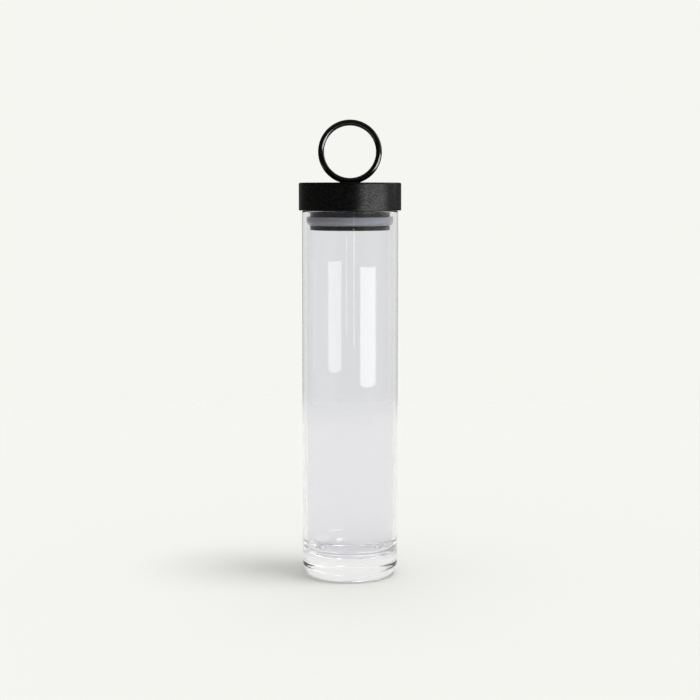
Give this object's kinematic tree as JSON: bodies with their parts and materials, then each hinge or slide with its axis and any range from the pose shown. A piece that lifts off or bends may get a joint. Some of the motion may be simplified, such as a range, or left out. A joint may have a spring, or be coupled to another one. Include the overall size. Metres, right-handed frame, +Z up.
{
  "type": "lidded glass canister",
  "caption": "Tall straight glass canister with a heavy base, closed by a black wooden plug lid with a silicone seal and an upright ring handle.",
  "frame": {"origin": "centre of the foot that the jar stands on", "axes": "+Z up along the jar's axis; the ring handle lies in the XZ plane, so it is seen face on along Y"},
  "size_m": [0.0852, 0.0852, 0.382],
  "materials": {
    "clear_glass": "clear, smooth, fire-polished",
    "stained_wood": "black-stained open-grain hardwood, satin",
    "silicone": "translucent white silicone, satin",
    "black_lacquer": "gloss black lacquer on steel",
    "stainless": "plain stainless steel"
  },
  "bodies": {
    "jar": {"glass_jar": "clear_glass"},
    "seal": {"seal_gasket": "silicone"},
    "lid": {"lid_disc": "stained_wood", "stopper_plug": "stained_wood", "ring_handle": "black_lacquer", "ring_stud": "stainless", "stud_washer": "stainless", "stud_nut": "stainless"}
  },
  "joints": [
    {"name": "lid_lift", "type": "slide", "parent": "jar", "child": "seal", "axis": [0, 0, 1], "range_m": [0, 0.09]},
    {"name": "lid_turn", "type": "hinge", "parent": "seal", "child": "lid", "pos_m": [0, 0, 0.307], "axis": [0, 0, 1], "continuous": true}
  ]
}
